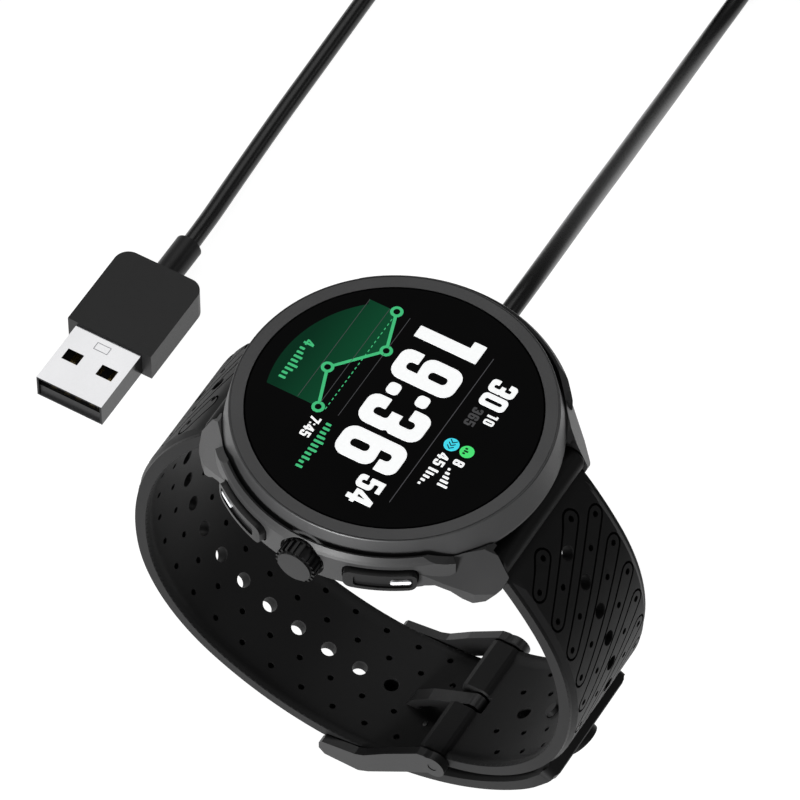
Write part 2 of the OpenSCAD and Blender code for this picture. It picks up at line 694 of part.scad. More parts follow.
module usb_contacts() color([0.9, 0.75, 0.4])
    for (y = [-3.5, -1, 1, 3.5])
        translate([plug_front + 2.5, plug_y + y - 0.5, shell_floor + tongue_t])
            cube([shell_len - 3.6, 1, 0.15]);

mid_case();
bezel();
display_glass();
glass_gasket();
display_panel();
antenna_ring();
chassis();
main_board();
board_parts();
battery();
vibration_motor();
side_switches();
case_back();
back_gasket();
back_screws();
sensor_window();
sensor_leds();
charge_contacts();
crown_tube();
crown_washer();
crown_spring();
crown_knob();
crown_cap();
crown_stem();
crown_seal();
crown_clip();
upper_pusher_cap();
upper_pusher_stem();
upper_pusher_seal();
upper_pusher_spring();
upper_pusher_clip();
lower_pusher_cap();
lower_pusher_stem();
lower_pusher_seal();
lower_pusher_spring();
lower_pusher_clip();
spring_bar_12();
spring_bar_6();
release_pin_12();
release_pin_6();
strap_buckle_half();
strap_tail_half();
keeper_stud();
buckle_pin();
buckle_frame();
buckle_tang();
charger_base();
charger_cover();
charger_magnets();
charger_pins();
charger_relief();
charge_cable_a();
cable_coil();
cable_tie();
charge_cable_b();
usb_overmold();
usb_shell();
usb_tongue();
usb_contacts();
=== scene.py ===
"""Looks of a round running watch that stands on its fastened strap, on its charging lead.

Lengths are in millimetres in the row frame (+X crown side, +Y 12 o'clock, +Z up, floor at z = 0),
and become metres where a mesh or curve is made.
"""
import json
import math

import bmesh
import bpy
import numpy as np
from mathutils import Matrix, Vector
from mathutils.geometry import delaunay_2d_cdt, tessellate_polygon


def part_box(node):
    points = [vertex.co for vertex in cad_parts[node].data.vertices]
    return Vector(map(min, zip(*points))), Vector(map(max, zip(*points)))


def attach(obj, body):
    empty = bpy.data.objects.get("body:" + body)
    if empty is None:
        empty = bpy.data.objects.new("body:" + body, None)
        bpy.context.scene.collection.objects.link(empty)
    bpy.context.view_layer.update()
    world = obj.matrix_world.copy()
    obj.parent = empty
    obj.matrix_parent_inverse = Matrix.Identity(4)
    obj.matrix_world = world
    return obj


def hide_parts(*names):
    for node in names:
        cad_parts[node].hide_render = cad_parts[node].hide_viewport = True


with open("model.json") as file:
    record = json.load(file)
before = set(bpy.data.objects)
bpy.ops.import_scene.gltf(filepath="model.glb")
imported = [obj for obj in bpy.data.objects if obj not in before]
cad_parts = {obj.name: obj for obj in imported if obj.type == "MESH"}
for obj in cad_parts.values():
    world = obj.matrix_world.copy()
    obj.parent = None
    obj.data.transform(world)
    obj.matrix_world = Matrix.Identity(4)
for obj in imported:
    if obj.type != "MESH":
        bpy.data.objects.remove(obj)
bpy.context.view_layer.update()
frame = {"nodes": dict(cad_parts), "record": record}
nodes = frame["nodes"]

MM = 0.001
FACE_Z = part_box("display_glass")[1].z / MM


# ---- Camera ----

TARGET = Vector((-1.39, 0.10, FACE_Z)) * MM
AZIMUTH = math.radians(120.51)
ELEVATION = math.radians(53.16)
CAMERA_DISTANCE = 1.0
FIELD_OF_VIEW = math.radians(6.572)
SENSOR_MM = 36


def add_camera():
    """Camera at the photograph's viewing angle."""
    right = Vector((math.cos(AZIMUTH), math.sin(AZIMUTH), 0))
    flat = Vector((math.sin(AZIMUTH), -math.cos(AZIMUTH), 0))
    back = flat * math.cos(ELEVATION) + Vector((0, 0, math.sin(ELEVATION)))
    up = back.cross(right)
    data = bpy.data.cameras.new("camera")
    data.sensor_width = SENSOR_MM
    data.lens = SENSOR_MM / 2 / math.tan(FIELD_OF_VIEW / 2)
    data.clip_start = 0.05
    camera = bpy.data.objects.new("camera", data)
    bpy.context.scene.collection.objects.link(camera)
    rotation = Matrix((right, up, back)).transposed().to_4x4()
    camera.matrix_world = Matrix.Translation(TARGET + back * CAMERA_DISTANCE) @ rotation
    bpy.context.scene.camera = camera


# ---- Materials ----

SCREEN_GLOW = 0.6
MIN_ROUGHNESS = 0.02
GRAIN_DEPTH = 0.02
# Painted shade colour for the upright faces of bright metal.
UPRIGHT_PAINTED_SHADE = (0.02, 0.02, 0.021)
# Heights on the dial between which the chart's field fades.
FIELD_FADE = (-6, -17)


def new_material(name):
    """A node material with its Principled shader."""
    mat = bpy.data.materials.new(name)
    mat.use_nodes = True
    return mat, mat.node_tree, mat.node_tree.nodes["Principled BSDF"]


def noise(tree, scale, detail=3.0, stretch=(1, 1, 1)):
    """Noise in the object's own space, scale in cells per metre."""
    coords = tree.nodes.new("ShaderNodeTexCoord")
    mapping = tree.nodes.new("ShaderNodeMapping")
    mapping.inputs["Scale"].default_value = stretch
    texture = tree.nodes.new("ShaderNodeTexNoise")
    texture.inputs["Scale"].default_value = scale
    texture.inputs["Detail"].default_value = detail
    tree.links.new(coords.outputs["Object"], mapping.inputs["Vector"])
    tree.links.new(mapping.outputs["Vector"], texture.inputs["Vector"])
    return texture


def ramp(tree, source, low, high, at=(0.3, 0.7)):
    """Colour ramp between two greys or colours over a noise."""
    node = tree.nodes.new("ShaderNodeValToRGB")
    for element, colour, position in zip(node.color_ramp.elements, (low, high), at):
        element.position = position
        element.color = (*colour, 1) if hasattr(colour, "__len__") else (colour, colour, colour, 1)
    tree.links.new(source, node.inputs["Fac"])
    return node.outputs["Color"]


def surface(name, colour, roughness, metallic=0.0, specular=0.5, coat=0.0, grain=9000.0, bump=0.08,
            vary=0.15, rough_vary=0.06, stretch=(1, 1, 1), sheen=0.0):
    """Moulded or machined surface: mottled colour, uneven gloss and a fine grain."""
    mat, tree, shader = new_material(name)
    broad = noise(tree, 60, 4)
    low = tuple(c * (1 - vary) for c in colour)
    high = tuple(min(1, c * (1 + vary)) for c in colour)
    tree.links.new(ramp(tree, broad.outputs["Fac"], low, high), shader.inputs["Base Color"])
    fine = noise(tree, grain, 2, stretch)
    smoothest = max(MIN_ROUGHNESS, roughness - rough_vary)
    rough = ramp(tree, fine.outputs["Fac"], smoothest, roughness + rough_vary)
    tree.links.new(rough, shader.inputs["Roughness"])
    relief = tree.nodes.new("ShaderNodeBump")
    relief.inputs["Strength"].default_value = bump
    relief.inputs["Distance"].default_value = GRAIN_DEPTH * MM
    tree.links.new(fine.outputs["Fac"], relief.inputs["Height"])
    tree.links.new(relief.outputs["Normal"], shader.inputs["Normal"])
    shader.inputs["Metallic"].default_value = metallic
    shader.inputs["Specular IOR Level"].default_value = specular
    shader.inputs["Coat Weight"].default_value = coat
    shader.inputs["Sheen Weight"].default_value = sheen
    return mat


def painted_side_shade(mat):
    """Painted shade: upright faces get a darker base colour than level ones, for bright metal."""
    tree = mat.node_tree
    shader = tree.nodes["Principled BSDF"]
    colour = shader.inputs["Base Color"].links[0].from_socket
    coords = tree.nodes.new("ShaderNodeTexCoord")
    parts = tree.nodes.new("ShaderNodeSeparateXYZ")
    upright = tree.nodes.new("ShaderNodeMath")
    upright.operation = "ABSOLUTE"
    mix = tree.nodes.new("ShaderNodeMixRGB")
    mix.inputs["Color1"].default_value = (*UPRIGHT_PAINTED_SHADE, 1)
    tree.links.new(coords.outputs["Normal"], parts.inputs["Vector"])
    tree.links.new(parts.outputs["Z"], upright.inputs[0])
    tree.links.new(upright.outputs["Value"], mix.inputs["Fac"])
    tree.links.new(colour, mix.inputs["Color2"])
    tree.links.new(mix.outputs["Color"], shader.inputs["Base Color"])
    return mat


def shine(tree, shader, tint, strength):
    """Makes a shader glow in a tint, without gloss."""
    tree.links.new(tint, shader.inputs["Emission Color"])
    tree.links.new(tint, shader.inputs["Base Color"])
    shader.inputs["Emission Strength"].default_value = strength
    shader.inputs["Roughness"].default_value = 0.6
    shader.inputs["Specular IOR Level"].default_value = 0.0


def glow(name, colour, strength=SCREEN_GLOW):
    """Lit part of the display."""
    mat, tree, shader = new_material(name)
    cells = noise(tree, 2500, 1)
    low = tuple(c * 0.96 for c in colour)
    shine(tree, shader, ramp(tree, cells.outputs["Fac"], low, colour), strength)
    return mat


def fading_glow(name, high, low, y_high, y_low):
    """Lit field that fades down the dial, between two heights in millimetres."""
    mat, tree, shader = new_material(name)
    coords = tree.nodes.new("ShaderNodeTexCoord")
    parts = tree.nodes.new("ShaderNodeSeparateXYZ")
    along = tree.nodes.new("ShaderNodeMapRange")
    along.inputs["From Min"].default_value = y_low * MM
    along.inputs["From Max"].default_value = y_high * MM
    tree.links.new(coords.outputs["Object"], parts.inputs["Vector"])
    tree.links.new(parts.outputs["Y"], along.inputs["Value"])
    shine(tree, shader, ramp(tree, along.outputs["Result"], low, high, (0, 1)), SCREEN_GLOW)
    return mat


def make_materials():
    """One material for each slot of the record, and those of the display's artwork."""
    return {
        "case_polymer": surface("case_polymer", (0.038, 0.038, 0.0385), 0.42, specular=0.3),
        "bezel_metal": surface("bezel_metal", (0.058, 0.058, 0.059), 0.44, metallic=0.35,
                               stretch=(1, 1, 6), grain=4000),
        "cover_glass": surface("cover_glass", (0.0012, 0.0012, 0.0013), 0.06, specular=0.02, bump=0,
                               vary=0.3, rough_vary=0.01),
        "seal_rubber": surface("seal_rubber", (0.02, 0.02, 0.02), 0.7, specular=0.3),
        "display_module": surface("display_module", (0.004, 0.004, 0.005), 0.2, bump=0),
        "gold_contact": surface("gold_contact", (0.8, 0.6, 0.25), 0.25, metallic=1.0, bump=0.03),
        "chassis_alloy": surface("chassis_alloy", (0.4, 0.4, 0.42), 0.45, metallic=1.0),
        "circuit_board": surface("circuit_board", (0.02, 0.16, 0.06), 0.4),
        "tin_plate": surface("tin_plate", (0.62, 0.62, 0.64), 0.3, metallic=1.0),
        "stainless": surface("stainless", (0.5, 0.5, 0.52), 0.28, metallic=1.0, stretch=(6, 1, 1)),
        "led_lens": surface("led_lens", (0.15, 0.7, 0.3), 0.15, coat=0.5),
        "crown_black": surface("crown_black", (0.008, 0.008, 0.0082), 0.34, specular=0.25),
        "crown_grey": surface("crown_grey", (0.032, 0.032, 0.0325), 0.4, metallic=0.6),
        "strap_silicone": surface("strap_silicone", (0.0098, 0.0098, 0.01), 0.5, specular=0.12,
                                  grain=14000, bump=0.15, sheen=0.03),
        "buckle_metal": surface("buckle_metal", (0.022, 0.022, 0.0224), 0.36, metallic=0.5),
        "charger_plastic": surface("charger_plastic", (0.006, 0.006, 0.0062), 0.42, specular=0.3,
                                   grain=11000, bump=0.2),
        "cable_jacket": surface("cable_jacket", (0.0025, 0.0025, 0.0027), 0.3, specular=0.4,
                                grain=6000, bump=0.03),
        # The plug shell's upright faces take painted shade.
        "plug_shell": painted_side_shade(surface("plug_shell", (0.62, 0.62, 0.63), 0.2, metallic=1.0,
                                           grain=3000, stretch=(1, 8, 1), bump=0.03, vary=0.04)),
        # Near-black painted shade for the strap's pill grooves, which are also cut into the mesh.
        "strap_groove_shade": surface("strap_groove_shade", (0.003, 0.003, 0.003), 0.8, specular=0.05),
        "button_light": surface("button_light", (0.75, 0.76, 0.78), 0.3, specular=0.5),
        "screen_white": glow("screen_white", (0.9, 0.91, 0.91), 0.62),
        "screen_grey": glow("screen_grey", (0.055, 0.055, 0.057)),
        "screen_line": glow("screen_line", (0.07, 0.07, 0.075)),
        "screen_green": glow("screen_green", (0.055, 0.47, 0.185)),
        "screen_lime": glow("screen_lime", (0.07, 0.7, 0.17)),
        "screen_cyan": glow("screen_cyan", (0.06, 0.66, 0.80)),
        "screen_field": fading_glow("screen_field", (0.006, 0.068, 0.028), (0.0036, 0.027, 0.013),
                                    *FIELD_FADE),
    }


# ---- Mesh helpers ----

def mesh_object(name, points, faces, material, body, smooth_angle=32, dark=(), groove_shade_material=None):
    """A piece from points in millimetres, smooth except at edges sharper than the angle.

    The faces numbered in dark take the groove shade material, a near-black painted shade.
    """
    mesh = bpy.data.meshes.new(name)
    mesh.from_pydata([Vector(p) * MM for p in points], [], faces)
    mesh.update()
    mesh.materials.append(material)
    if groove_shade_material:
        mesh.materials.append(groove_shade_material)
        for k in dark:
            mesh.polygons[k].material_index = 1
    tidy = bmesh.new()
    tidy.from_mesh(mesh)
    bmesh.ops.remove_doubles(tidy, verts=tidy.verts, dist=1e-7)
    bmesh.ops.recalc_face_normals(tidy, faces=tidy.faces)
    tidy.to_mesh(mesh)
    tidy.free()
    mesh.polygons.foreach_set("use_smooth", [True] * len(mesh.polygons))
    mesh.set_sharp_from_angle(angle=math.radians(smooth_angle))
    piece = bpy.data.objects.new(name, mesh)
    bpy.context.scene.collection.objects.link(piece)
    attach(piece, body)
    return piece


def corner_arc(before, corner, after, radius, steps=6):
    """Points that round one corner of a flat outline."""
    a, c, b = (np.array(p[:2], float) for p in (before, corner, after))
    to_a, to_b = a - c, b - c
    la, lb = np.linalg.norm(to_a), np.linalg.norm(to_b)
    ua, ub = to_a / la, to_b / lb
    half = math.acos(max(-1, min(1, float(ua @ ub)))) / 2
    if radius <= 0 or half > math.radians(88):
        return [tuple(c)]
    cut = min(radius / math.tan(half), 0.49 * la, 0.49 * lb)
    r = cut * math.tan(half)
    middle = c + (ua + ub) / np.linalg.norm(ua + ub) * (r / math.sin(half))
    start, end = c + ua * cut - middle, c + ub * cut - middle
    turn = math.atan2(start[0] * end[1] - start[1] * end[0], float(start @ end))
    first = math.atan2(start[1], start[0])
    angles = [first + turn * k / steps for k in range(steps + 1)]
    return [(middle[0] + r * math.cos(t), middle[1] + r * math.sin(t)) for t in angles]


def rounded(outline, steps=6):
    """An outline of (x, y, radius) corners as plain points."""
    n = len(outline)
    points = []
    for i, corner in enumerate(outline):
        points += corner_arc(outline[i - 1], corner, outline[(i + 1) % n], corner[2], steps)
    return points


def plate(loops, low, high):
    """Points and faces of a flat solid: the first loop is the outline, the others are holes."""
    flat = [p for loop in loops for p in loop]
    triangles = tessellate_polygon([[Vector((x, y, 0)) for x, y in loop] for loop in loops])
    n = len(flat)
    points = [(x, y, low) for x, y in flat] + [(x, y, high) for x, y in flat]
    faces = [tuple(t) for t in triangles] + [tuple(i + n for i in reversed(t)) for t in triangles]
    start = 0
    for loop in loops:
        m = len(loop)
        faces += [(start + i, start + (i + 1) % m, start + (i + 1) % m + n, start + i + n)
                  for i in range(m)]
        start += m
    return points, faces


def merged(parts):
    """Several (points, faces) pairs as one."""
    points, faces = [], []
    for some_points, some_faces in parts:
        base = len(points)
        points += list(some_points)
        faces += [tuple(i + base for i in face) for face in some_faces]
    return points, faces


def lathe(profile, axis_point, axis, steps=64, closed=False):
    """Points and faces of a profile of (station, radius) turned about an axis."""
    axis = Vector(axis).normalized()
    side = axis.orthogonal().normalized()
    other = axis.cross(side)
    points, faces = [], []
    for station, radius in profile:
        for k in range(steps):
            t = 2 * math.pi * k / steps
            spoke = side * math.cos(t) + other * math.sin(t)
            points.append(tuple(Vector(axis_point) + axis * station + spoke * radius))
    rows = len(profile)
    for i in range(rows if closed else rows - 1):
        j = (i + 1) % rows
        faces += [(i * steps + k, i * steps + (k + 1) % steps, j * steps + (k + 1) % steps,
                   j * steps + k) for k in range(steps)]
    if not closed:
        faces.append(tuple(range(steps - 1, -1, -1)))
        faces.append(tuple((rows - 1) * steps + k for k in range(steps)))
    return points, faces


def circle(x, y, radius, steps=16):
    """Points of a circle in a flat outline."""
    return [(x + radius * math.cos(2 * math.pi * k / steps),
             y + radius * math.sin(2 * math.pi * k / steps)) for k in range(steps)]


def capsule(a, b, radius, steps=8, spacing=1.0):
    """Points round a capsule between two centres, with points along its straight sides."""
    a, b = np.array(a, float), np.array(b, float)
    along = (b - a) / np.linalg.norm(b - a)
    across = np.array([-along[1], along[0]])
    parts = max(1, round(float(np.linalg.norm(b - a)) / spacing))
    points = []
    for centre, sense, far in ((b, 1, a), (a, -1, b)):
        for k in range(steps + 1):
            t = math.pi * k / steps
            spoke = -across * math.cos(t) + along * math.sin(t)
            points.append(tuple(centre + sense * radius * spoke))
        side = sense * radius * across
        points += [tuple(centre + side + (far - centre) * k / parts) for k in range(1, parts)]
    return points


# ---- Plug ----

LATCH_GAP = 1.3
LATCH_LENGTH = 1.5
LATCH_HALF_W = 1.3
LATCH_LINE = 0.14
LATCH_RISE = 0.015
LATCH_SINK = 0.05


def add_shell_mark(material):
    """Outline of the latch tab pressed into the top of the plug's shell, near the overmold."""
    low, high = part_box("usb_shell")
    _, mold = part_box("usb_overmold")
    middle, top, start = (low.y + high.y) / 2 / MM, high.z / MM, mold.x / MM + LATCH_GAP
    loops = []
    for inset, radius in ((0, 0.1), (LATCH_LINE, 0.05)):
        x0, x1, half = start + inset, start + LATCH_LENGTH - inset, LATCH_HALF_W - inset
        loops.append(rounded([(x0, middle - half, radius), (x1, middle - half, radius),
                              (x1, middle + half, radius), (x0, middle + half, radius)], 3))
    points, faces = plate(loops, top - LATCH_SINK, top + LATCH_RISE)
    piece = mesh_object("usb_latch_outline", points, faces, material, "charger")
    return piece


# ---- Charging lead ----

CABLE_D = 3.0
COIL_CENTRE = (-163.5, -52.3)
COIL_OUT = 22.7
TURN_PITCH = 3.1
COLUMNS = 4
UPPER_TURNS = COLUMNS - 1.25
CLIMB_TUCK = 0.5
TIE_T = 0.5
LOW_LAYER = TIE_T + TURN_PITCH / 2
HIGH_LAYER = LOW_LAYER + TURN_PITCH
ROUTE_A = [
    (-27, 0, 60.8), (-33, 0, 60.8), (-41, -0.6, 59.1), (-51, -2.3, 54.6), (-62.6, -4.8, 48),
    (-75.4, -7.8, 39.9), (-88.8, -11, 31.2), (-102.4, -14.3, 22.4), (-115.7, -17.3, 14.3),
    (-128.2, -19.8, 7.7), (-139.2, -21.5, 3.2), (-148.2, -22.1, 1.6), (-158, -22.3, 1.6),
    (-167, -23.8, 1.6), (-175, -27.4, 1.7), (-181.2, -33, 1.8), (-185, -40.3, 1.9),
    (-186.2, -47, 2),
]
ROUTE_B = [
    (-156, -75, 4.8), (-148, -75, 3.8), (-140, -75, 2.5), (-132, -75, 1.7),
    (-124, -75, 1.6), (-116, -74.8, 1.6), (-102, -74.4, 1.6), (-88, -74, 1.6), (-74, -73.3, 1.8),
    (-66, -72.7, 2.3), (-61, -72.4, 2.7), (-57.6, -72.3, 2.8),
]


def coil_route(steps=24):
    """The coil: inwards on the lower layer, up, and outwards on the upper one."""
    inner = COIL_OUT - (COLUMNS - 1) * TURN_PITCH
    start, down_end = 180, 180 + 360 * (COLUMNS - 1)
    up_start = down_end + 180
    out_start = COIL_OUT - TURN_PITCH * UPPER_TURNS
    end = up_start + 360 * UPPER_TURNS
    points = []
    count = round((end - start) * steps / 360)
    for k in range(count + 1):
        turn = start + (end - start) * k / count
        if turn <= down_end:
            radius = COIL_OUT - TURN_PITCH * (turn - start) / 360
            z = LOW_LAYER
        elif turn <= up_start:
            t = (turn - down_end) / 180
            ease = t * t * (3 - 2 * t)
            radius = inner + (out_start - inner) * ease - CLIMB_TUCK * math.sin(math.pi * t)
            z = LOW_LAYER + TURN_PITCH * ease
        else:
            radius = out_start + TURN_PITCH * (turn - up_start) / 360
            z = HIGH_LAYER
        a = math.radians(turn)
        points.append((COIL_CENTRE[0] + radius * math.cos(a), COIL_CENTRE[1] + radius * math.sin(a), z))
    return points


def smooth_line(route, per_span=4):
    """Catmull-Rom points through a route."""
    p = [np.array(q, float) for q in route]
    p = [2 * p[0] - p[1]] + p + [2 * p[-1] - p[-2]]
    out = []
    for i in range(1, len(p) - 2):
        for k in range(per_span):
            t = k / per_span
            out.append(0.5 * (2 * p[i] + (p[i + 1] - p[i - 1]) * t
                              + (2 * p[i - 1] - 5 * p[i] + 4 * p[i + 1] - p[i + 2]) * t * t
                              + (3 * p[i] - p[i - 1] - 3 * p[i + 1] + p[i + 2]) * t ** 3))
    out.append(p[-2])
    return out


def add_cable(material, shell_mark):
    """The whole lead as one curve, from the puck's strain relief to the plug."""
    line = smooth_line(ROUTE_A + coil_route() + ROUTE_B)
    data = bpy.data.curves.new("charge_cable", "CURVE")
    data.dimensions = "3D"
    data.bevel_depth = CABLE_D / 2 * MM
    data.bevel_resolution = 5
    data.use_fill_caps = True
    spline = data.splines.new("POLY")
    spline.points.add(len(line) - 1)
    for point, place in zip(spline.points, line):
        point.co = (*(place * MM), 1)
    spline.use_smooth = True
    data.materials.append(material)
    cable = bpy.data.objects.new("charge_cable", data)
    bpy.context.scene.collection.objects.link(cable)
    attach(cable, "charger")
    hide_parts("charge_cable_a", "cable_coil", "charge_cable_b")


# ---- Strap ----

# A place on a half is (s, x): s runs along it from its spring bar, and x across it.
STRAP_HALF_W = 11.3
STRAP_T = 2.5
HOLE_PITCH = 5.75
SMALL_R = 0.52
LARGE_R = 1.22
PILL_R = 1.42
GROOVE_HALF = 0.19
GROOVE_DEPTH = 0.4
ROW_NEAR = 4.05
ROW_FAR = 8.1
BARREL_R = 2.1
BAR_Y = 23.2
BAR_Z = -9.4
PIVOT = (14.1, 10.5)
FIELD_X = 9.3
FIELD_RIM = 0.95
FIELD_RECESS = 0.25
BORDER_X = 9.8
BORDER_SLOPE = 0.9
BORDER_DROP = 0.5
VALLEY_START = 2.6
VALLEY_LENGTH = 3.2
VALLEY_DEPTH = 0.85
TIP_DROP = 0.3
GRID_STEP = 1.15
GRID_CLEARANCE = 0.3
BUCKLE_FIRST = 8.6
TAIL_FIRST = 10.35
TAIL_MIDDLE = -0.9
FORK_HALF = 1.6
FORK_DEPTH = 3.4
PIN_LOOP_R = 1.7
TIP_LENGTH = 5
TIP_R = 1.4
STUD_CLEARANCE = 3.2
TANG_S = 96.3
TANG_CLEARANCE = 3.5
TANG_SLOT_R = 1.25
TANG_LEAN = 2.36
LEAN_SPREAD = 3
STRAP_SMOOTH = 18


def arc_line(start, arcs):
    """A function that gives (y, z, heading) at any length along a chain of arcs, and its length."""
    pieces, y, z, h, total = [], start[0], start[1], math.radians(start[2]), 0.0
    for radius, turn in arcs:
        turn = math.radians(turn)
        pieces.append((total, y, z, h, radius, math.copysign(1, turn)))
        side = math.copysign(1, turn)
        y += side * radius * (math.sin(h + turn) - math.sin(h))
        z -= side * radius * (math.cos(h + turn) - math.cos(h))
        h += turn
        total += radius * abs(turn)

    def at(s):
        start_s, py, pz, ph, radius, side = [q for q in pieces if q[0] <= max(s, 0)][-1]
        t = side * (s - start_s) / radius
        return (py + side * radius * (math.sin(ph + t) - math.sin(ph)),
                pz - side * radius * (math.cos(ph + t) - math.cos(ph)), ph + t)
    return at, total


BUCKLE_LINE = arc_line((22.6, -9.6, -48), [(68, -12), (34, -41), (27, -69)])
TAIL_LINE = arc_line((-22.6, -9.6, -140), [(42, 57), (27, 50), (44, 74), (26, 19)])


def step(x, low, high):
    """Smooth 0 to 1 between two values."""
    t = min(1, max(0, (x - low) / (high - low)))
    return t * t * (3 - 2 * t)


def inner_height(s, x, length, open_end):
    """Height of the wrist side above the strap's centre line."""
    field = 1 - min(1, max(0, (abs(x) - FIELD_X) / FIELD_RIM))
    field *= step(s, 3, 6)
    edge = 0.12 * step(abs(x), 11.1, STRAP_HALF_W)
    if not open_end:
        field *= 1 - step(s, length - 4, length - 2.5)
        edge += TIP_DROP * step(s, length - 0.5, length)
    return STRAP_T / 2 - FIELD_RECESS * field - edge


def outer_height(s, x, length, open_end):
    """Height of the outer side above the strap's centre line."""
    border = BORDER_DROP * min(1, max(0, (abs(x) - BORDER_X) / BORDER_SLOPE))
    border += 0.1 * step(abs(x), 11.0, STRAP_HALF_W)
    valley = VALLEY_DEPTH * (1 - min(1, max(0, (s - VALLEY_START) / VALLEY_LENGTH)))
    end = 0 if open_end else TIP_DROP * step(s, length - 0.5, length)
    return STRAP_T / 2 - max(border, valley) - end


def lattice(first, last, middle=0):
    """Holes as (s, x, radius): a middle row of large ones and two rows of small ones each side."""
    holes = [(first - HOLE_PITCH / 2, middle + x, SMALL_R) for x in (-ROW_NEAR, ROW_NEAR)]
    for k in range(int((last - first) / HOLE_PITCH) + 1):
        s = first + k * HOLE_PITCH
        holes.append((s, middle, LARGE_R))
        holes += [(s, middle + x, SMALL_R) for x in (-ROW_FAR, ROW_FAR)]
        holes += [(s + HOLE_PITCH / 2, middle + x, SMALL_R) for x in (-ROW_NEAR, ROW_NEAR)]
    return holes


def pills(first, last):
    """Slanting pill outlines as pairs of (s, x) ends, cut short where the field begins."""
    slope = 2 * HOLE_PITCH / (2 * ROW_FAR)
    out = [((first - HOLE_PITCH / 2, ROW_NEAR), (first, ROW_FAR)),
           ((first - HOLE_PITCH / 2, -ROW_NEAR), (first + HOLE_PITCH, ROW_FAR))]
    s = first
    while s + slope * 2 * ROW_FAR <= last:
        out.append(((s, -ROW_FAR), (s + slope * 2 * ROW_FAR, ROW_FAR)))
        s += HOLE_PITCH
    return out


def inside(loop, x, y):
    """Whether a point is inside a loop of points (an array)."""
    x0, y0 = loop[:, 0], loop[:, 1]
    x1, y1 = np.roll(x0, -1), np.roll(y0, -1)
    crosses = ((y0 > y) != (y1 > y)) & (x < (x1 - x0) * (y - y0) / (y1 - y0 + 1e-12) + x0)
    return crosses.sum() % 2 == 1


def lean(s, x, slant):
    """How far the outer face is drawn towards the strap's start round a slanting hole."""
    place, reach = slant
    return reach * math.exp(-((s - place) ** 2 + x * x) / (2 * LEAN_SPREAD ** 2))


def gaps(places, points, chunk=200):
    """Distance from each place to the nearest of some points, found a few places at a time."""
    parts = [np.linalg.norm(places[k:k + chunk, None, :] - points[None, :, :], axis=2).min(axis=1)
             for k in range(0, len(places), chunk)]
    return np.concatenate(parts)


def flat_sheet(outline, holes, pill_ends, length):
    """A strap half drawn flat: its spots (s, x), its faces, and which spots lie in a groove."""
    through = [np.array(loop) for loop in holes]
    loops, lowered = [np.array(outline)] + through, []
    for a, b in pill_ends:
        for offset in (-GROOVE_HALF, 0, GROOVE_HALF):
            ring = np.array(capsule(a, b, PILL_R + offset))
            loops.append(ring)
            if offset == 0:
                lowered.append(ring)
    verts = np.concatenate(loops)
    edges, base = [], 0
    for loop in loops:
        n = len(loop)
        edges += [(base + i, base + (i + 1) % n) for i in range(n)]
        base += n
    across = [0, 1.3, 2.6, 3.9, 5.2, 6.5, 7.8, 8.7, FIELD_X, BORDER_X, FIELD_X + FIELD_RIM,
              BORDER_X + BORDER_SLOPE, 11.1]
    across = [-x for x in reversed(across[1:])] + across
    grid = np.array([(s, x) for s in np.arange(0.6, length - 0.2, GRID_STEP) for x in across])
    grid = grid[gaps(grid, verts) > GRID_CLEARANCE]
    flat = [Vector(p) for p in verts] + [Vector(p) for p in grid]
    out_verts, _, out_faces, *_ = delaunay_2d_cdt(flat, edges, [], 0, 1e-4)
    spots = np.array([(v.x, v.y) for v in out_verts])
    boxes = [(loop, loop.min(axis=0), loop.max(axis=0)) for loop in through]
    kept = []
    for face in out_faces:
        c = spots[list(face)].mean(axis=0)
        if not inside(loops[0], *c):
            continue
        near = [loop for loop, low, high in boxes if (low <= c).all() and (c <= high).all()]
        if not any(inside(loop, *c) for loop in near):
            kept.append(tuple(face))
    return spots, kept, gaps(spots, np.concatenate(lowered)) < 1e-3


def strap_sheet(line, inward, outline, holes, pill_ends, open_end, blind, slant=(0, 0)):
    """Points, faces and groove faces of one strap half, drawn flat as (s, x) and bent along its line; the
    groove faces get painted shade.

    The blind holes have a floor at half their depth.
    """
    at, length = line
    spots, kept, groove = flat_sheet(outline, holes, pill_ends, length)
    n = len(spots)
    points = []
    for face_side in (1, -1):
        for i, (s, x) in enumerate(spots):
            shift = lean(s, x, slant) if face_side < 0 else 0
            y, z, h = at(s - shift)
            if face_side > 0:
                height = inner_height(s, x, length, open_end)
            else:
                height = -outer_height(s, x, length, open_end) + (GROOVE_DEPTH if groove[i] else 0)
            points.append((x, y - inward * height * math.sin(h), FACE_Z + z + inward * height * math.cos(h)))
    faces = kept + [tuple(i + n for i in reversed(f)) for f in kept]
    # Outer faces in the pill grooves, which take the near-black painted shade.
    dark = [len(kept) + k for k, f in enumerate(kept) if any(groove[i] for i in f)]
    seen = dict.fromkeys((a, b) for f in kept for a, b in zip(f, f[1:] + f[:1]))
    faces += [(b, a, a + n, b + n) for a, b in seen if (b, a) not in seen]
    for place, x, radius in blind:
        y, z, h = at(place)
        along = Vector((0, math.cos(h), math.sin(h)))
        middle = Vector((x, y, FACE_Z + z))
        base = len(points)
        ring = circle(0, 0, radius + 0.05, 12)
        points += [tuple(middle + along * u + Vector((v, 0, 0))) for u, v in ring]
        faces.append(tuple(range(base, base + len(ring))))
    return points, faces, dark


